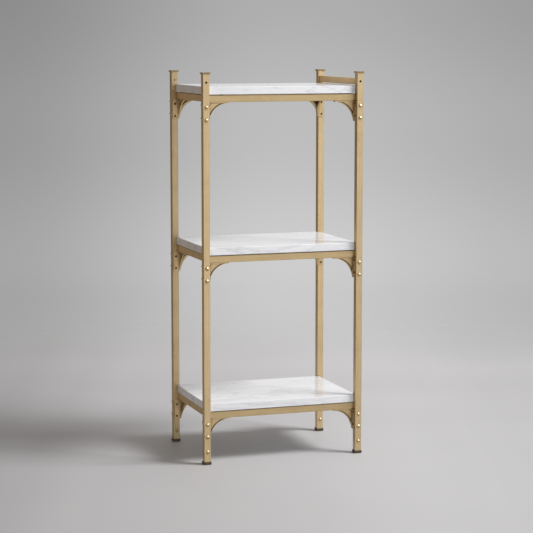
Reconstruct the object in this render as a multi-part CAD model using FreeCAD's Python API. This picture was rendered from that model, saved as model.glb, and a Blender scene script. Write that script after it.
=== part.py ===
import FreeCAD, Part
import math
import os
from FreeCAD import Vector

# Three-tier shelving unit: four square tube posts, three mitred tube frames,
# arched corner brackets, three notched stone slabs and a guard bar.
# Millimetres. Origin: centre of the footprint on the floor. +X right, -Y front, +Z up.

# ---- overall size -------------------------------------------------------
WIDTH = 394.0            # over the outer faces of the posts, left to right
DEPTH = 278.0            # over the outer faces of the posts, front to back
HEIGHT = 914.0           # floor to the top of the caps

# ---- posts --------------------------------------------------------------
POST = 15.9              # square tube, outer size
POST_WALL = 1.6
POST_R = 1.3             # outer corner radius

# ---- feet ---------------------------------------------------------------
FOOT_H = 7.0             # pad under the tube
FOOT_W = 19.2
FOOT_CORNER = 2.8        # corner radius in plan
FOOT_R = 2.4             # rounded lower edge
FOOT_PLUG_H = 38.0       # plug inside the tube, above the pad
PLUG_W = 12.5

# ---- caps ---------------------------------------------------------------
CAP_W = 20.0
CAP_T = 2.8
CAP_NECK = 2.0           # flared neck between the plate and the tube
CAP_NECK_W = 18.0        # neck width right under the plate
CAP_PLUG_H = 9.0

# ---- frames -------------------------------------------------------------
RAIL = 15.9              # square tube, outer size
RAIL_WALL = 1.5
RAIL_R = 1.2
RAIL_INSET = 13.1        # outer face of a rail, in from the outer face of the posts
RAIL_Z = {"bottom": 106.6, "middle": 474.4, "top": 845.8}   # underside of the rails

# ---- slabs --------------------------------------------------------------
PAD_T = 1.4              # pads between the rails and the slab
PAD_D = 9.0
SLAB_T = 18.0
SLAB_INSET = 10.3        # outer face of a slab, in from the outer face of the posts
SLAB_GAP = 0.6           # air between the notch and the post
SLAB_ARRIS = 0.9         # softened edges

# ---- corner brackets ----------------------------------------------------
BR_LEN = 50.0            # along the rail
BR_DROP = 48.0           # down the post
BR_ARC_R = 47.2          # concave edge
BR_ARC_A = 50.0          # centre of the arc, along the rail
BR_ARC_D = 49.6          # centre of the arc, below the rail
BR_WEB_T = 1.8
BR_WEB_FRONT = 15.6      # front and back brackets: outer face of the web plate, in from the outer face of the post
BR_WEB_SIDE = 17.4       # side brackets: the same
BR_RIM_T = 4.8           # curved rim along the concave edge, behind the web plate
BR_RIM_DEPTH = 6.0       # front and back brackets: outer face of the web to the back of the rim
BR_RIM_DEPTH_SIDE = 4.2  # side brackets: the same
BR_LIP = 0.8             # lip between the concave edge and the groove
BR_GROOVE_W = 3.2        # crescent groove in the outer face, widest in the middle of the arc
BR_GROOVE_H = 2.8        # its depth
BR_GROOVE_SHIFT = 7.0    # its centre, from the centre of the arc towards the corner, along each axis
BR_FLANGE_FRONT = 2.6    # edge of the mounting flange, in from the outer face of the post
BR_FLANGE_T = 0.6        # mounting flange of the front and back brackets, at its front edge
BR_FLANGE_ROOT = 5.0     # and where it meets the web
BR_PLATE_T = 2.2         # mounting flange of the side brackets
BR_TOP_T = 2.4           # flange under the rail
BR_TOP_STEP = 1.3        # its outer edge, in front of the web
BR_TOP_DEPTH = 27.0      # inner edge of the flange under the rail
BR_MITRE_GAP = 0.15      # half of the gap between the two brackets of a corner

# ---- screws -------------------------------------------------------------
SCREW_D = 4.8
HEAD_D = 9.4
HEAD_H = 2.8
SOCKET_AF = 3.6
SOCKET_H = 1.8
POST_HOLE_D = 5.2        # clearance hole in the tube walls
TAP_HOLE_D = 4.9         # hole in the flange and the plug
SCREW_OUT = 0.6          # end of the screw past the flange
HOLE_SIDE = (12.2, 41.4)   # below the rail: screws running front to back
HOLE_FRONT = (6.0, 35.5)   # below the rail: screws running left to right
LEG_SCREW_Z = 29.4
LEG_SCREW_L = 9.0

# ---- guard bar ----------------------------------------------------------
BAR_H = 14.9
BAR_T = 9.5
BAR_Z = 891.0            # centre line, also the height of the holes in the posts
ACCESS_D = 5.4           # hole in the outer wall of the post
BAR_HOLE_D = 3.4         # clearance hole in the inner wall of the post
BAR_TAP_D = 3.1          # hole in the end of the bar
BAR_SCREW_D = 3.0
BAR_SCREW_HEAD_D = 5.0
BAR_SCREW_HEAD_H = 2.2
BAR_SCREW_L = 14.0
BAR_SOCKET_AF = 2.2
BAR_SOCKET_H = 1.2

HX = WIDTH / 2.0
HY = DEPTH / 2.0
TUBE_TOP = HEIGHT - CAP_T - CAP_NECK
CORNERS = {"front_left": (-1, -1), "front_right": (1, -1),
           "back_left": (-1, 1), "back_right": (1, 1)}

os.makedirs("parts", exist_ok=True)


def export(shape, node):
    shape.exportStep("parts/%s.step" % node)


def box(x0, y0, z0, x1, y1, z1):
    return Part.makeBox(x1 - x0, y1 - y0, z1 - z0, Vector(x0, y0, z0))


def square_face(size, r, z, cx=0.0, cy=0.0):
    """Rounded square face in a horizontal plane."""
    h = size / 2.0
    if r <= 0:
        pts = [Vector(cx - h, cy - h, z), Vector(cx + h, cy - h, z),
               Vector(cx + h, cy + h, z), Vector(cx - h, cy + h, z)]
        return Part.Face(Part.makePolygon(pts + [pts[0]]))
    k = h - r
    s = r * math.sqrt(0.5)
    edges = []
    corners = [(1, -1), (1, 1), (-1, 1), (-1, -1)]
    for i, (a, b) in enumerate(corners):
        c, d = corners[(i + 1) % 4]
        centre = Vector(cx + a * k, cy + b * k, z)
        if (a, b) == (1, -1):
            p0, p1 = Vector(0, -r, 0), Vector(r, 0, 0)
        elif (a, b) == (1, 1):
            p0, p1 = Vector(r, 0, 0), Vector(0, r, 0)
        elif (a, b) == (-1, 1):
            p0, p1 = Vector(0, r, 0), Vector(-r, 0, 0)
        else:
            p0, p1 = Vector(-r, 0, 0), Vector(0, -r, 0)
        edges.append(Part.Arc(centre + p0, centre + Vector(a * s, b * s, 0), centre + p1).toShape())
        nxt = Vector(cx + c * k, cy + d * k, z)
        if (c, d) == (1, 1):
            q = Vector(r, 0, 0)
        elif (c, d) == (-1, 1):
            q = Vector(0, r, 0)
        elif (c, d) == (-1, -1):
            q = Vector(-r, 0, 0)
        else:
            q = Vector(0, -r, 0)
        edges.append(Part.makeLine(centre + p1, nxt + q))
    return Part.Face(Part.Wire(Part.__sortEdges__(edges)))


def tube(size, wall, r, z0, z1, cx, cy):
    outer = square_face(size, r, z0, cx, cy).extrude(Vector(0, 0, z1 - z0))
    inner = square_face(size - 2 * wall, max(r - wall, 0.4), z0, cx, cy).extrude(Vector(0, 0, z1 - z0))
    return outer.cut(inner)


def cyl(r, base, direction, length):
    return Part.makeCylinder(r, length, base, direction)


def post_centre(sx, sy):
    return sx * (HX - POST / 2.0), sy * (HY - POST / 2.0)


# ---- posts --------------------------------------------------------------
def make_post(sx, sy):
    cx, cy = post_centre(sx, sy)
    body = tube(POST, POST_WALL, POST_R, FOOT_H, TUBE_TOP, cx, cy)
    cuts = []
    for zr in RAIL_Z.values():
        for drop in HOLE_SIDE:
            cuts.append(cyl(POST_HOLE_D / 2, Vector(cx, cy - POST, zr - drop), Vector(0, 1, 0), 2 * POST))
        for drop in HOLE_FRONT:
            cuts.append(cyl(POST_HOLE_D / 2, Vector(cx - POST, cy, zr - drop), Vector(1, 0, 0), 2 * POST))
    # guard bar: small hole through both walls, wider access hole in the outer wall
    cuts.append(cyl(BAR_HOLE_D / 2, Vector(cx, cy - POST, BAR_Z), Vector(0, 1, 0), 2 * POST))
    cuts.append(cyl(ACCESS_D / 2, Vector(cx, cy, BAR_Z), Vector(0, sy, 0), POST))
    # leg screw: front wall only
    cuts.append(cyl(POST_HOLE_D / 2, Vector(cx, cy, LEG_SCREW_Z), Vector(0, -1, 0), POST))
    for c in cuts:
        body = body.cut(c)
    return body


# ---- caps ---------------------------------------------------------------
def make_cap(sx, sy):
    cx, cy = post_centre(sx, sy)
    z0 = HEIGHT - CAP_T
    plate = square_face(CAP_W, 0.8, z0, cx, cy).extrude(Vector(0, 0, CAP_T))
    top = [e for e in plate.Edges if abs(e.BoundBox.ZMin - HEIGHT) < 1e-6 and abs(e.BoundBox.ZMax - HEIGHT) < 1e-6]
    plate = plate.makeChamfer(0.6, top)
    lower = square_face(POST, 0.8, TUBE_TOP, cx, cy).OuterWire
    upper = square_face(CAP_NECK_W, 0.8, z0, cx, cy).OuterWire
    neck = Part.makeLoft([lower, upper], True, True)
    plug = square_face(PLUG_W, 0.5, TUBE_TOP - CAP_PLUG_H, cx, cy).extrude(Vector(0, 0, CAP_PLUG_H))
    return plate.fuse([neck, plug]).removeSplitter()


# ---- feet ---------------------------------------------------------------
def make_foot(sx, sy):
    cx, cy = post_centre(sx, sy)
    pad = square_face(FOOT_W, FOOT_CORNER, 0.0, cx, cy).extrude(Vector(0, 0, FOOT_H))
    low = [e for e in pad.Edges if e.BoundBox.ZMax < 1e-6]
    pad = pad.makeFillet(FOOT_R, low)
    high = [e for e in pad.Edges if e.BoundBox.ZMin > FOOT_H - 1e-6]
    pad = pad.makeChamfer(0.8, high)
    plug = square_face(PLUG_W, 0.5, FOOT_H, cx, cy).extrude(Vector(0, 0, FOOT_PLUG_H))
    foot = pad.fuse(plug).removeSplitter()
    hole = cyl(TAP_HOLE_D / 2, Vector(cx, sy * (HY - POST / 2.0), LEG_SCREW_Z), Vector(0, -1, 0), POST)
    hole_back = cyl(TAP_HOLE_D / 2, Vector(cx, cy, LEG_SCREW_Z), Vector(0, 1, 0), 3.0)
    return foot.cut(hole).cut(hole_back)


# ---- rails --------------------------------------------------------------
def rail_plan(kind):
    """Plan outline of a rail: butted on the posts, then mitred to the next rail."""
    a, b = RAIL_INSET, RAIL_INSET + RAIL
    pts = [(POST, a), (POST, POST), (b, b)]
    if kind in ("front", "back"):
        length = WIDTH
    else:
        length = DEPTH
    left = pts
    right = [(length - u, v) for u, v in reversed(pts)]
    ring = left + right
    out = []
    for u, v in ring:
        if kind == "front":
            out.append(Vector(-HX + u, -HY + v, 0))
        elif kind == "back":
            out.append(Vector(-HX + u, HY - v, 0))
        elif kind == "left":
            out.append(Vector(-HX + v, -HY + u, 0))
        else:
            out.append(Vector(HX - v, -HY + u, 0))
    return out


def make_rail(kind, zr):
    c = RAIL_INSET + RAIL / 2.0
    outer = square_face(RAIL, RAIL_R, 0.0)
    inner = square_face(RAIL - 2 * RAIL_WALL, 0.4, 0.0)
    length = (WIDTH if kind in ("front", "back") else DEPTH) + 20.0
    body = outer.extrude(Vector(0, 0, length)).cut(inner.extrude(Vector(0, 0, length)))
    body.translate(Vector(0, 0, -length / 2.0))
    if kind in ("front", "back"):
        body.rotate(Vector(0, 0, 0), Vector(0, 1, 0), 90)
        body.translate(Vector(0, (-1 if kind == "front" else 1) * (HY - c), zr + RAIL / 2.0))
    else:
        body.rotate(Vector(0, 0, 0), Vector(1, 0, 0), 90)
        body.translate(Vector((-1 if kind == "left" else 1) * (HX - c), 0, zr + RAIL / 2.0))
    pts = rail_plan(kind)
    prism = Part.Face(Part.makePolygon(pts + [pts[0]])).extrude(Vector(0, 0, RAIL + 20.0))
    prism.translate(Vector(0, 0, zr - 10.0))
    return body.common(prism)


# ---- slabs --------------------------------------------------------------
def make_slab(zr):
    z0 = zr + RAIL + PAD_T
    x = HX - SLAB_INSET
    y = HY - SLAB_INSET
    n = POST + SLAB_GAP - SLAB_INSET
    pts = [(-x + n, -y), (x - n, -y), (x - n, -y + n), (x, -y + n), (x, y - n), (x - n, y - n),
           (x - n, y), (-x + n, y), (-x + n, y - n), (-x, y - n), (-x, -y + n), (-x + n, -y + n)]
    ring = [Vector(a, b, z0) for a, b in pts]
    slab = Part.Face(Part.makePolygon(ring + [ring[0]])).extrude(Vector(0, 0, SLAB_T))
    edges = []
    for e in slab.Edges:
        bb = e.BoundBox
        if bb.ZMax - bb.ZMin < 1e-6:
            edges.append(e)
    return slab.makeChamfer(SLAB_ARRIS, edges)


# ---- corner bracket, local axes: a along the rail, y in from the outer face, z down from the rail
def make_bracket(drops, web_front, rim_depth, wedge):
    def prism(pts, y0, y1):
        ring = [Vector(a, y0, -d) for a, d in pts]
        return Part.Face(Part.makePolygon(ring + [ring[0]])).extrude(Vector(0, y1 - y0, 0))

    def column(pts, z0, z1):
        ring = [Vector(a, y, z0) for a, y in pts]
        return Part.Face(Part.makePolygon(ring + [ring[0]])).extrude(Vector(0, 0, z1 - z0))

    def round_bar(r, shift, y0, y1):
        return cyl(r, Vector(BR_ARC_A - shift, y0, -BR_ARC_D + shift), Vector(0, 1, 0), y1 - y0)

    web_back = web_front + BR_WEB_T
    rim_back = web_front + rim_depth
    full = [(0, 0), (BR_LEN, 0), (BR_LEN, BR_DROP), (0, BR_DROP)]
    # web plate, with the rim behind it
    web = prism(full, web_front, web_back)
    rim = prism(full, web_front, rim_back).common(round_bar(BR_ARC_R + BR_RIM_T, 0.0, web_front - 1.0, rim_back + 1.0))
    # mounting flange on the post
    if wedge:
        flange = column([(0, BR_FLANGE_FRONT), (BR_FLANGE_T, BR_FLANGE_FRONT), (BR_FLANGE_ROOT, web_front),
                         (BR_FLANGE_ROOT, web_back), (0, web_back)], -BR_DROP, 0.0)
    else:
        flange = column([(0, BR_FLANGE_FRONT), (BR_PLATE_T, BR_FLANGE_FRONT), (BR_PLATE_T, POST - 2.0),
                         (BR_PLATE_T + 3.0, web_front), (BR_PLATE_T + 3.0, web_back), (0, web_back)], -BR_DROP, 0.0)
    # flange under the rail
    top = prism([(0, 0), (BR_LEN, 0), (BR_LEN, BR_TOP_T), (0, BR_TOP_T)], web_front - BR_TOP_STEP, BR_TOP_DEPTH)
    body = web.fuse([rim, flange, top]).cut(round_bar(BR_ARC_R, 0.0, -5.0, 55.0))
    # crescent groove along the lip
    reach = BR_ARC_R + BR_LIP + BR_GROOVE_W - BR_GROOVE_SHIFT * math.sqrt(2.0)
    groove = round_bar(reach, BR_GROOVE_SHIFT, web_front - 8.0, web_front + min(BR_GROOVE_H, rim_depth / 2.0))
    groove = groove.cut(round_bar(BR_ARC_R + BR_LIP, 0.0, web_front - 9.0, web_front + 9.0))
    groove = groove.common(prism(full, web_front - 0.5, rim_back))
    body = body.cut(groove)
    # mitre against the other bracket of the corner
    g = BR_MITRE_GAP
    body = body.cut(column([(-1.0, POST + g), (0.0, POST + g), (20.0, POST + g + 20.0), (-1.0, POST + g + 20.0)],
                           1.0, -BR_DROP - 1.0))
    for drop in drops:
        body = body.cut(cyl(TAP_HOLE_D / 2, Vector(-1.0, POST / 2.0, -drop), Vector(1, 0, 0), 7.0))
    return body.removeSplitter()


def place_bracket(base, rail_kind, sx, sy, zr):
    s = base.copy()
    if rail_kind in ("front", "back"):
        # a -> +X from the inner face of the left post, y -> inward from the front
        s.translate(Vector(-HX + POST, -HY, zr))
    else:
        s = s.mirror(Vector(0, 0, 0), Vector(1, -1, 0))
        s.translate(Vector(-HX, -HY + POST, zr))
    if sx > 0:
        s = s.mirror(Vector(0, 0, 0), Vector(1, 0, 0))
    if sy > 0:
        s = s.mirror(Vector(0, 0, 0), Vector(0, 1, 0))
    return s


# ---- screws, local axis +X, underside of the head at the origin ---------------
def make_screw(shank_d, length, head_d, head_h, socket_af, socket_h, domed=True):
    shank = cyl(shank_d / 2, Vector(-0.2, 0, 0), Vector(1, 0, 0), length + 0.2)
    tip = [e for e in shank.Edges if e.BoundBox.XMin > length - 1e-6]
    shank = shank.makeChamfer(0.35, tip)
    if domed:
        r = (head_d ** 2 / 4.0 + head_h ** 2) / (2.0 * head_h)
        ball = Part.makeSphere(r, Vector(-head_h + r, 0, 0))
        head = ball.common(box(-head_h - 1.0, -head_d, -head_d, 0.0, head_d, head_d))
    else:
        head = cyl(head_d / 2, Vector(-head_h, 0, 0), Vector(1, 0, 0), head_h)
    af = socket_af / math.sqrt(3.0)
    hexagon = [Vector(-head_h - 0.5, af * math.cos(math.radians(60 * i)), af * math.sin(math.radians(60 * i)))
               for i in range(6)]
    socket = Part.Face(Part.makePolygon(hexagon + [hexagon[0]])).extrude(Vector(socket_h + 0.5, 0, 0))
    return head.fuse(shank).cut(socket).removeSplitter()


def aim(shape, base, direction):
    s = shape.copy()
    angle = {(1, 0): 0, (0, 1): 90, (-1, 0): 180, (0, -1): 270}[direction]
    s.rotate(Vector(0, 0, 0), Vector(0, 0, 1), angle)
    s.translate(base)
    return s


# ---- build --------------------------------------------------------------
for name, (sx, sy) in CORNERS.items():
    export(make_post(sx, sy), "post_" + name)
    export(make_cap(sx, sy), "cap_" + name)
    export(make_foot(sx, sy), "foot_" + name)

bracket_front = make_bracket(HOLE_FRONT, BR_WEB_FRONT, BR_RIM_DEPTH, True)
bracket_side = make_bracket(HOLE_SIDE, BR_WEB_SIDE, BR_RIM_DEPTH_SIDE, False)
for level, zr in RAIL_Z.items():
    for kind in ("front", "back", "left", "right"):
        export(make_rail(kind, zr), "rail_%s_%s" % (level, kind))
    export(make_slab(zr), "slab_" + level)
    for kind, sy in (("front", -1), ("back", 1)):
        for end, sx in (("left", -1), ("right", 1)):
            export(place_bracket(bracket_front, kind, sx, sy, zr), "bracket_%s_%s_%s" % (level, kind, end))
    for kind, sx in (("left", -1), ("right", 1)):
        for end, sy in (("front", -1), ("back", 1)):
            export(place_bracket(bracket_side, kind, sx, sy, zr), "bracket_%s_%s_%s" % (level, kind, end))

long_screw = make_screw(SCREW_D, POST + BR_PLATE_T + SCREW_OUT, HEAD_D, HEAD_H, SOCKET_AF, SOCKET_H)
leg_screw = make_screw(SCREW_D, LEG_SCREW_L, HEAD_D, HEAD_H, SOCKET_AF, SOCKET_H)
side_screws, cross_screws, leg_screws = [], [], []
for sx, sy in CORNERS.values():
    cx, cy = post_centre(sx, sy)
    for zr in RAIL_Z.values():
        for drop in HOLE_SIDE:
            side_screws.append(aim(long_screw, Vector(cx, sy * HY, zr - drop), (0, -sy)))
        for drop in HOLE_FRONT:
            cross_screws.append(aim(long_screw, Vector(sx * HX, cy, zr - drop), (-sx, 0)))
    leg_screws.append(aim(leg_screw, Vector(cx, cy - POST / 2.0, LEG_SCREW_Z), (0, 1)))
export(Part.makeCompound(side_screws), "bracket_screws_front_back")
export(Part.makeCompound(cross_screws), "bracket_screws_left_right")
export(Part.makeCompound(leg_screws), "leg_screws")

# guard bar between the right posts, its screws inside the posts
bar_x = HX - POST / 2.0
bar_y = HY - POST
bar = box(bar_x - BAR_T / 2, -bar_y, BAR_Z - BAR_H / 2, bar_x + BAR_T / 2, bar_y, BAR_Z + BAR_H / 2)
bar = bar.makeFillet(0.8, [e for e in bar.Edges if e.BoundBox.YLength > 10.0])
for s in (-1, 1):
    bar = bar.cut(cyl(BAR_TAP_D / 2, Vector(bar_x, s * (bar_y + 1.0), BAR_Z), Vector(0, -s, 0), BAR_SCREW_L + 1.0))
export(bar, "guard_bar")
bar_screw = make_screw(BAR_SCREW_D, BAR_SCREW_L, BAR_SCREW_HEAD_D, BAR_SCREW_HEAD_H, BAR_SOCKET_AF, BAR_SOCKET_H,
                       domed=False)
bar_screws = [aim(bar_screw, Vector(bar_x, s * (bar_y + POST_WALL), BAR_Z), (0, -s)) for s in (-1, 1)]
export(Part.makeCompound(bar_screws), "guard_bar_screws")

# pads between the rails and the slabs
pads = []
pad_x = HX - RAIL_INSET - RAIL / 2.0
pad_y = HY - RAIL_INSET - RAIL / 2.0
for zr in RAIL_Z.values():
    for sx in (-1, 1):
        for sy in (-1, 1):
            pads.append(cyl(PAD_D / 2, Vector(sx * (pad_x - 30.0), sy * pad_y, zr + RAIL), Vector(0, 0, 1), PAD_T))
export(Part.makeCompound(pads), "slab_pads")
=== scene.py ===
import bpy
import math
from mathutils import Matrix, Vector

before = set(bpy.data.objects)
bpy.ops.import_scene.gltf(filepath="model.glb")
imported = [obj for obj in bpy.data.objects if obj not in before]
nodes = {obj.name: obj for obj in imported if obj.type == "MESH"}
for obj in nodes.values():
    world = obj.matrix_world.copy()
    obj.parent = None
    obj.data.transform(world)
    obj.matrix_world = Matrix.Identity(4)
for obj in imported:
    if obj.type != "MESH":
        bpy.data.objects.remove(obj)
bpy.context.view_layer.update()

scene = bpy.context.scene

# ------------------------------------------------------------------ camera
cam_data = bpy.data.cameras.new("camera")
cam = bpy.data.objects.new("camera", cam_data)
scene.collection.objects.link(cam)
cam_data.sensor_width = 36.0
cam_data.lens = 123.57
cam_data.clip_end = 60.0
cam_data.dof.use_dof = False
cam.location = (-1.4088, -4.1519, 1.0007)
yaw, pitch = math.radians(18.786), math.radians(7.236)
look = Vector((math.sin(yaw) * math.cos(pitch), math.cos(yaw) * math.cos(pitch), -math.sin(pitch)))
cam.rotation_mode = "QUATERNION"
cam.rotation_quaternion = look.to_track_quat("-Z", "Y")
scene.camera = cam


# ------------------------------------------------------------------ node helpers
class Tree:
    """Small helper to write node trees."""

    def __init__(self, tree):
        self.t = tree
        self.t.nodes.clear()

    def add(self, kind, **settings):
        n = self.t.nodes.new(kind)
        for k, v in settings.items():
            setattr(n, k, v)
        return n

    def link(self, a, b):
        self.t.links.new(a, b)

    def coords(self, scale, rotate=(0, 0, 0), offset=(0, 0, 0)):
        tc = self.add("ShaderNodeTexCoord")
        mp = self.add("ShaderNodeMapping")
        mp.inputs["Scale"].default_value = scale
        mp.inputs["Rotation"].default_value = rotate
        mp.inputs["Location"].default_value = offset
        self.link(tc.outputs["Object"], mp.inputs["Vector"])
        return mp.outputs["Vector"]

    def noise(self, vec, scale=1.0, detail=3.0, rough=0.5, distort=0.0):
        n = self.add("ShaderNodeTexNoise")
        n.inputs["Scale"].default_value = scale
        n.inputs["Detail"].default_value = detail
        n.inputs["Roughness"].default_value = rough
        n.inputs["Distortion"].default_value = distort
        self.link(vec, n.inputs["Vector"])
        return n.outputs["Fac"]

    def ramp(self, fac, stops, interp="LINEAR"):
        n = self.add("ShaderNodeValToRGB")
        r = n.color_ramp
        r.interpolation = interp
        while len(r.elements) < len(stops):
            r.elements.new(0.5)
        for e, (p, c) in zip(r.elements, stops):
            e.position = p
            e.color = (*c, 1.0) if len(c) == 3 else c
        self.link(fac, n.inputs["Fac"])
        return n.outputs["Color"]

    def spread(self, fac, lo, hi, a=0.3, b=0.7):
        n = self.add("ShaderNodeMapRange")
        n.inputs["From Min"].default_value = a
        n.inputs["From Max"].default_value = b
        n.inputs["To Min"].default_value = lo
        n.inputs["To Max"].default_value = hi
        self.link(fac, n.inputs["Value"])
        return n.outputs["Result"]

    def mix(self, fac, a, b, blend="MIX"):
        n = self.add("ShaderNodeMix", data_type="RGBA", blend_type=blend)
        ins = {s.identifier: s for s in n.inputs}
        self._put(ins["Factor_Float"], fac)
        self._put(ins["A_Color"], a)
        self._put(ins["B_Color"], b)
        outs = {s.identifier: s for s in n.outputs}
        return outs["Result_Color"]

    def _put(self, sock, val):
        if isinstance(val, bpy.types.NodeSocket):
            self.link(val, sock)
        elif isinstance(val, (int, float)):
            sock.default_value = val
        elif sock.type == "RGBA" and len(val) == 3:
            sock.default_value = (*val, 1.0)
        else:
            sock.default_value = val

    def math(self, op, a, b=0.0):
        n = self.add("ShaderNodeMath", operation=op)
        self._put(n.inputs[0], a)
        self._put(n.inputs[1], b)
        return n.outputs[0]

    def bump(self, height, strength, distance, normal=None):
        n = self.add("ShaderNodeBump")
        n.inputs["Strength"].default_value = strength
        n.inputs["Distance"].default_value = distance
        self.link(height, n.inputs["Height"])
        if normal is not None:
            self.link(normal, n.inputs["Normal"])
        return n.outputs["Normal"]

    def shader(self, **values):
        out = self.add("ShaderNodeOutputMaterial")
        p = self.add("ShaderNodeBsdfPrincipled")
        self.link(p.outputs["BSDF"], out.inputs["Surface"])
        for k, v in values.items():
            self._put(p.inputs[k.replace("_", " ")], v)
        return p


def material(name):
    m = bpy.data.materials.new(name)
    m.use_nodes = True
    return m, Tree(m.node_tree)


# ------------------------------------------------------------------ satin brass
BRASS_LIGHT = (0.715, 0.549, 0.325)
BRASS_DARK = (0.615, 0.467, 0.266)


# colour of the painted shade in the inner corners and recesses
PAINTED_SHADE_BROWN = (0.100, 0.055, 0.020)


def brass(name, grain, light=BRASS_LIGHT, dark=BRASS_DARK, rough=(0.34, 0.46), bump=1.0, shade_reach=0.006, shade_strength=0.55,
          shaded_top_above=None, heads_only=False):
    """Brushed satin brass. grain: the axis that the brushing runs along, or None for a tumbled finish.
    shade_reach: how far, in metres, the painted shade reaches out of the inner corners; shade_strength: how dark it
    gets.
    shaded_top_above: height from which the piece is painted darker, a painted shade on its top.
    heads_only: what lies within the outer faces of the posts is coloured near-black; only what stands outside them
    keeps the brass."""
    m, t = material(name)
    fine = {"x": (60, 5200, 5200), "y": (5200, 60, 5200), "z": (5200, 5200, 60), None: (2600, 2600, 2600)}[grain]
    wide = {"x": (9, 700, 700), "y": (700, 9, 700), "z": (700, 700, 9), None: (260, 260, 260)}[grain]
    lines = t.noise(t.coords(fine), detail=2.0, rough=0.6)
    bands = t.noise(t.coords(wide), detail=4.0, rough=0.55)
    cloud = t.noise(t.coords((22, 22, 22)), detail=5.0, rough=0.6)
    smudge = t.noise(t.coords((75, 75, 75), offset=(3.1, 1.7, 0.4)), detail=6.0, rough=0.65, distort=0.6)
    tone = t.mix(t.spread(bands, 0.0, 1.0, 0.32, 0.68), dark, light)
    aged = t.mix(t.spread(cloud, 0.0, 0.45, 0.45, 0.72), tone, tuple(c * 0.86 for c in dark))
    color = t.mix(t.spread(smudge, 0.0, 0.22, 0.55, 0.75), aged, (0.74, 0.60, 0.38))
    # painted shade: the inner corners and recesses are darkened to a dull brown, broken up a little
    ao = t.add("ShaderNodeAmbientOcclusion", samples=8)
    ao.inputs["Distance"].default_value = shade_reach
    painted_shade_mask = t.spread(t.math("ADD", ao.outputs["AO"], t.spread(cloud, -0.06, 0.06, 0.3, 0.7)), shade_strength, 0.0, 0.30, 0.85)
    color = t.mix(painted_shade_mask, color, PAINTED_SHADE_BROWN)
    if shaded_top_above is not None or heads_only:
        at = t.add("ShaderNodeTexCoord")
        xyz = t.add("ShaderNodeSeparateXYZ")
        t.link(at.outputs["Object"], xyz.inputs[0])
        if shaded_top_above is not None:
            # painted shade: dark brown from the given height up
            z = t.math("ADD", xyz.outputs["Z"], t.spread(cloud, -0.0003, 0.0003, 0.3, 0.7))
            color = t.mix(t.spread(z, 0.0, 0.80, shaded_top_above - 0.0004, shaded_top_above + 0.0004), color, (0.210, 0.135, 0.062))
        if heads_only:
            # near-black within the outer faces of the posts
            out_x = t.math("SUBTRACT", t.math("ABSOLUTE", xyz.outputs["X"]), 0.197)
            out_y = t.math("SUBTRACT", t.math("ABSOLUTE", xyz.outputs["Y"]), 0.139)
            out = t.math("MAXIMUM", out_x, out_y)
            color = t.mix(t.spread(out, 1.0, 0.0, -0.0004, -0.0001), color, (0.030, 0.022, 0.015))
    r1 = t.spread(lines, rough[0], rough[1], 0.25, 0.75)
    rsum = t.math("ADD", r1, t.spread(smudge, -0.05, 0.07, 0.3, 0.7))
    n1 = t.bump(lines, 0.22 * bump, 0.00004)
    n2 = t.bump(bands, 0.10 * bump, 0.00012, n1)
    p = t.shader(Metallic=1.0)
    t.link(color, p.inputs["Base Color"])
    t.link(rsum, p.inputs["Roughness"])
    t.link(n2, p.inputs["Normal"])
    return m


brass_x = brass("satin_brass_x", "x", light=(0.595, 0.448, 0.250), dark=(0.510, 0.380, 0.205))
brass_y = brass("satin_brass_y", "y", light=(0.740, 0.570, 0.340), dark=(0.640, 0.485, 0.280), rough=(0.50, 0.62))
brass_z = brass("satin_brass_z", "z")
# painted shade: three posts get darker copies of the post brass, at 0.79, 0.91 and 0.95 of its colour
brass_z_painted_shade_79 = brass("satin_brass_z_painted_shade_79", "z", light=tuple(c * 0.79 for c in BRASS_LIGHT), dark=tuple(c * 0.79 for c in BRASS_DARK))
brass_z_painted_shade_91 = brass("satin_brass_z_painted_shade_91", "z", light=tuple(c * 0.91 for c in BRASS_LIGHT), dark=tuple(c * 0.91 for c in BRASS_DARK))
brass_z_painted_shade_95 = brass("satin_brass_z_painted_shade_95", "z", light=tuple(c * 0.95 for c in BRASS_LIGHT), dark=tuple(c * 0.95 for c in BRASS_DARK))
# brackets: wide, strong painted shade in their hollows
brass_cast = brass("satin_brass_bracket", None, light=(0.640, 0.485, 0.275), dark=(0.540, 0.400, 0.220), rough=(0.40, 0.52), bump=1.4, shade_reach=0.014, shade_strength=0.90)
# caps: painted shade on the top, from 0.9112 m up
brass_cap = brass("satin_brass_cap", None, light=(0.60, 0.46, 0.27), dark=(0.48, 0.36, 0.20), rough=(0.36, 0.48), shaded_top_above=0.9112)
brass_bar = brass("satin_brass_bar", "y", light=(0.980, 0.780, 0.480), dark=(0.900, 0.700, 0.420), rough=(0.46, 0.58))
# screws: painted shade in the socket recesses
brass_screw = brass("polished_screw", None, light=(0.72, 0.57, 0.36), dark=(0.62, 0.47, 0.27), rough=(0.33, 0.42), bump=0.5,
                    shade_reach=0.004, shade_strength=0.95, heads_only=True)
brass_leg_screw = brass("polished_leg_screw", None, light=(0.72, 0.57, 0.36), dark=(0.62, 0.47, 0.27), rough=(0.33, 0.42),
                        bump=0.5, shade_reach=0.004, shade_strength=0.95)


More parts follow.
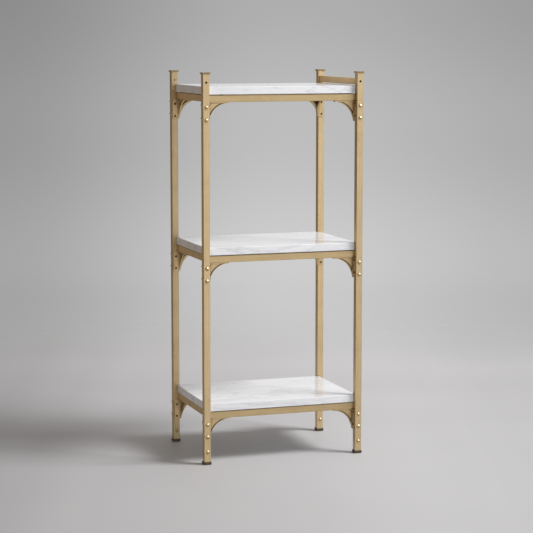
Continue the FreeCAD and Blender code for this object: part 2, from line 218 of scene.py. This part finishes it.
# ------------------------------------------------------------------ marble
def marble():
    m, t = material("polished_marble")
    drift = t.coords((3.2, 11.0, 11.0))
    soft = t.noise(drift, detail=6.0, rough=0.52, distort=0.8)
    streak = t.noise(t.coords((5.0, 34.0, 34.0), rotate=(0, 0, 0.05)), detail=7.0, rough=0.55, distort=1.3)
    vein = t.noise(t.coords((2.4, 9.0, 9.0), rotate=(0, 0, 0.12), offset=(4.0, 2.0, 7.0)), detail=9.0, rough=0.6, distort=2.2)
    grains = t.noise(t.coords((420, 420, 420)), detail=3.0, rough=0.6)
    ridge = t.math("ABSOLUTE", t.math("SUBTRACT", vein, 0.5))
    vein_mask = t.ramp(ridge, [(0.0, (1, 1, 1)), (0.018, (0.35, 0.35, 0.35)), (0.05, (0, 0, 0))])
    base = t.mix(t.spread(soft, 0.0, 1.0, 0.35, 0.68), (0.765, 0.778, 0.806), (0.705, 0.717, 0.748))
    base = t.mix(t.spread(streak, 0.0, 0.45, 0.50, 0.74), base, (0.580, 0.592, 0.625))
    base = t.mix(t.math("MULTIPLY", vein_mask, 0.45), base, (0.42, 0.43, 0.46))
    base = t.mix(t.spread(grains, 0.0, 0.10, 0.4, 0.75), base, (0.84, 0.85, 0.87))
    p = t.shader(Specular_IOR_Level=0.36, Subsurface_Weight=0.05, Subsurface_Radius=(0.006, 0.005, 0.004), Subsurface_Scale=0.5)
    t.link(base, p.inputs["Base Color"])
    t.link(t.spread(soft, 0.15, 0.25, 0.3, 0.7), p.inputs["Roughness"])
    t.link(t.bump(grains, 0.05, 0.00005), p.inputs["Normal"])
    return m


marble_mat = marble()


# ------------------------------------------------------------------ feet, pads
def moulded(name, a, b, rough):
    m, t = material(name)
    pit = t.noise(t.coords((1500, 1500, 1500)), detail=3.0, rough=0.6)
    cloud = t.noise(t.coords((110, 110, 110)), detail=5.0, rough=0.6)
    color = t.mix(t.spread(cloud, 0.0, 1.0, 0.3, 0.7), a, b)
    p = t.shader()
    t.link(color, p.inputs["Base Color"])
    t.link(t.spread(cloud, rough[0], rough[1], 0.3, 0.7), p.inputs["Roughness"])
    t.link(t.bump(pit, 0.35, 0.00008), p.inputs["Normal"])
    return m


foot_mat = moulded("dark_brown_plastic", (0.050, 0.030, 0.016), (0.075, 0.048, 0.026), (0.38, 0.55))
pad_mat = moulded("dark_rubber", (0.030, 0.027, 0.024), (0.050, 0.045, 0.040), (0.60, 0.75))


# ------------------------------------------------------------------ give every node its finish
def finish_of(name):
    if name == "slab_pads":
        return pad_mat
    if name.startswith("slab_"):
        return marble_mat
    if name.startswith("foot_"):
        return foot_mat
    if name == "leg_screws":
        return brass_leg_screw
    if "screws" in name:
        return brass_screw
    if name.startswith("cap_"):
        return brass_cap
    # painted shade: these three posts take the darker copies of the post brass
    if name == "post_back_left":
        return brass_z_painted_shade_79
    if name == "post_front_right":
        return brass_z_painted_shade_91
    if name == "post_front_left":
        return brass_z_painted_shade_95
    if name.startswith("post_"):
        return brass_z
    if name.startswith("bracket_"):
        return brass_cast
    if name == "guard_bar":
        return brass_bar
    if name.endswith("_left") or name.endswith("_right"):
        return brass_y
    return brass_x


for name, obj in nodes.items():
    mat = finish_of(name)
    if not obj.data.materials:
        obj.data.materials.append(mat)
    for i in range(len(obj.material_slots)):
        obj.material_slots[i].material = mat


def soften(obj, width, segments=2):
    """Rounds the sharp edges a little, as handling and polishing do."""
    w = obj.modifiers.new("join", "WELD")
    w.merge_threshold = 0.00001
    b = obj.modifiers.new("soften", "BEVEL")
    b.width = width
    b.segments = segments
    b.limit_method = "ANGLE"
    b.angle_limit = math.radians(40)
    b.use_clamp_overlap = True
    b.harden_normals = False


for name, obj in nodes.items():
    if name.startswith("bracket_") and "screws" not in name:
        soften(obj, 0.00035)

# ------------------------------------------------------------------ floor
FLOOR_R = 2.6
floor_mesh = bpy.data.meshes.new("floor")
ring = [(FLOOR_R * math.cos(2 * math.pi * i / 96), FLOOR_R * math.sin(2 * math.pi * i / 96), 0.0) for i in range(96)]
floor_mesh.from_pydata(ring, [], [list(range(96))])
floor = bpy.data.objects.new("floor", floor_mesh)
scene.collection.objects.link(floor)
floor_mat, t = material("floor_paper")
fl = t.noise(t.coords((2.0, 2.0, 2.0)), detail=3.0)
fine = t.noise(t.coords((300, 300, 300)), detail=2.0)
out = t.add("ShaderNodeOutputMaterial")
p = t.add("ShaderNodeBsdfPrincipled")
paper = t.mix(t.spread(fl, 0.0, 1.0), (0.522, 0.524, 0.540), (0.542, 0.544, 0.560))
# the paper is lit a little unevenly: dimmer in front and at the left, brighter behind
far = t.add("ShaderNodeSeparateXYZ")
t.link(t.coords((1, 1, 1), rotate=(0, 0, math.radians(18.8))), far.inputs[0])
shade = t.ramp(t.spread(far.outputs["Y"], 0.0, 1.0, -1.0, 2.0), [
    (0.0, (0.74, 0.74, 0.74)), (0.31, (0.76, 0.76, 0.76)), (0.43, (0.79, 0.79, 0.79)), (0.57, (0.85, 0.85, 0.85)),
    (0.73, (0.96, 0.96, 0.96)), (0.93, (1.0, 1.0, 1.0))], "EASE")
side = t.ramp(t.spread(far.outputs["X"], 0.0, 1.0, -1.0, 1.0), [
    (0.0, (0.77, 0.77, 0.77)), (0.14, (0.80, 0.80, 0.80)), (0.22, (0.88, 0.88, 0.88)), (0.30, (0.96, 0.96, 0.96)),
    (0.5, (1.0, 1.0, 1.0)), (0.66, (1.0, 1.0, 1.0)), (0.75, (0.95, 0.95, 0.95)), (0.78, (0.915, 0.915, 0.915)),
    (0.82, (0.875, 0.875, 0.875)), (0.88, (0.845, 0.845, 0.845)), (1.0, (0.82, 0.82, 0.82))], "EASE")
paper = t.mix(1.0, t.mix(1.0, paper, shade, "MULTIPLY"), side, "MULTIPLY")
lift = t.mix(1.0, paper, (1.25, 1.25, 1.25), "MULTIPLY")
t.link(lift, p.inputs["Base Color"])
t.link(t.spread(fl, 0.55, 0.65), p.inputs["Roughness"])
t.link(t.bump(fine, 0.05, 0.0001), p.inputs["Normal"])
clear = t.add("ShaderNodeBsdfTransparent")
fade = t.add("ShaderNodeMixShader")
tc = t.add("ShaderNodeTexCoord")
length = t.add("ShaderNodeVectorMath", operation="LENGTH")
t.link(tc.outputs["Object"], length.inputs[0])
mr = t.add("ShaderNodeMapRange", interpolation_type="SMOOTHSTEP")
mr.inputs["From Min"].default_value = 1.0
mr.inputs["From Max"].default_value = 2.5
mr.inputs["To Min"].default_value = 0.0
mr.inputs["To Max"].default_value = 1.0
t.link(length.outputs["Value"], mr.inputs["Value"])
t.link(mr.outputs["Result"], fade.inputs["Fac"])
t.link(p.outputs["BSDF"], fade.inputs[1])
t.link(clear.outputs["BSDF"], fade.inputs[2])
t.link(fade.outputs["Shader"], out.inputs["Surface"])
floor_mesh.materials.append(floor_mat)

# ------------------------------------------------------------------ world: grey studio, lit from the front right
world = bpy.data.worlds.new("studio")
scene.world = world
world.use_nodes = True
t = Tree(world.node_tree)
tc = t.add("ShaderNodeTexCoord")
sep = t.add("ShaderNodeSeparateXYZ")
t.link(tc.outputs["Generated"], sep.inputs[0])
turn = t.math("MULTIPLY", t.math("ARCTAN2", sep.outputs["X"], sep.outputs["Y"]), 180.0 / math.pi)
rise = sep.outputs["Z"]


def grey_ramp(fac, lo, hi, stops):
    """stops: (position between lo and hi, grey or colour)"""
    pts = [((q - lo) / (hi - lo), c if isinstance(c, tuple) else (c, c, c)) for q, c in stops]
    return t.ramp(t.spread(fac, 0.0, 1.0, lo, hi), pts, "EASE")


# backdrop behind the shelving: a soft pool of light, falling off to a warm dark side on the left
back = grey_ramp(turn, -90.0, 100.0, [
    (-90.0, (0.330, 0.265, 0.200)), (-20.0, (0.270, 0.225, 0.180)), (2.0, (0.240, 0.220, 0.200)), (10.0, (0.360, 0.360, 0.365)),
    (19.5, (0.585, 0.580, 0.585)), (29.0, (0.460, 0.455, 0.460)), (50.0, (0.450, 0.445, 0.450)), (100.0, (0.550, 0.545, 0.540))])
back_rise = grey_ramp(rise, -0.25, 1.0, [
    (-0.25, 1.10), (-0.16, 1.05), (-0.144, 1.01), (-0.125, 1.05), (-0.052, 0.88), (0.023, 0.73), (0.058, 0.85), (0.16, 1.55), (0.45, 1.15), (1.0, 0.75)])
# room in front of it: a broad soft source
front = grey_ramp(t.math("ABSOLUTE", t.math("SUBTRACT", turn, 0.0)), 60.0, 180.0, [
    (60.0, 0.51), (110.0, 0.82), (150.0, 0.96), (180.0, 0.91)])
front_rise = grey_ramp(rise, -0.3, 1.0, [
    (-0.3, 0.9), (-0.1, 1.0), (0.15, 0.95), (0.45, 0.65), (1.0, 0.48)])
front_side = grey_ramp(sep.outputs["X"], -1.0, 1.0, [
    (-1.0, (0.33, 0.265, 0.195)), (-0.7, (0.41, 0.34, 0.265)), (-0.2, (0.80, 0.79, 0.78)), (0.1, 1.0), (1.0, 1.0)])
back_c = t.mix(1.0, back, back_rise, "MULTIPLY")
front_c = t.mix(1.0, t.mix(1.0, front, front_rise, "MULTIPLY"), front_side, "MULTIPLY")
way = t.spread(sep.outputs["Y"], 1.0, 0.0, -0.35, 0.25)
sky = t.mix(way, back_c, front_c)
# the warm side only tints what the metal picks up; seen directly, the backdrop is a neutral grey
plain = t.add("ShaderNodeRGBToBW")
t.link(sky, plain.inputs["Color"])
seen = t.add("ShaderNodeLightPath")
sky = t.mix(seen.outputs["Is Camera Ray"], sky, plain.outputs["Val"])
bg = t.add("ShaderNodeBackground")
wo = t.add("ShaderNodeOutputWorld")
t.link(sky, bg.inputs["Color"])
bg.inputs["Strength"].default_value = 1.0
t.link(bg.outputs["Background"], wo.inputs["Surface"])


# ------------------------------------------------------------------ lights
def area(name, loc, target, size, power, color=(1, 1, 1)):
    d = bpy.data.lights.new(name, "AREA")
    d.shape = "RECTANGLE"
    d.size, d.size_y = size
    d.energy = power
    d.color = color
    o = bpy.data.objects.new(name, d)
    scene.collection.objects.link(o)
    o.location = loc
    o.rotation_mode = "QUATERNION"
    o.rotation_quaternion = (Vector(target) - Vector(loc)).to_track_quat("-Z", "Y")
    return o


KEY = Vector((0.600, -0.390, 0.698)) * 3.6 + Vector((0.0, 0.0, 0.4))
area("key", KEY, (0.0, 0.0, 0.4), (1.25, 1.25), 138.0, (1.0, 0.992, 0.982))

# weak low fill from the front, on the lower shelves
low = bpy.data.lights.new("low_fill", "SPOT")
low.energy = 172.0
low.color = (1.0, 0.985, 0.965)
low.shadow_soft_size = 0.45
low.spot_size = math.radians(14)
low.spot_blend = 1.0
low_fill = bpy.data.objects.new("low_fill", low)
scene.collection.objects.link(low_fill)
low_fill.location = (-0.95, -6.0, 0.55)
low_fill.rotation_mode = "QUATERNION"
low_fill.rotation_quaternion = (Vector((0.0, 0.0, 0.00)) - low_fill.location).to_track_quat("-Z", "Y")
low_fill.visible_camera = False

scene.view_settings.view_transform = "Standard"
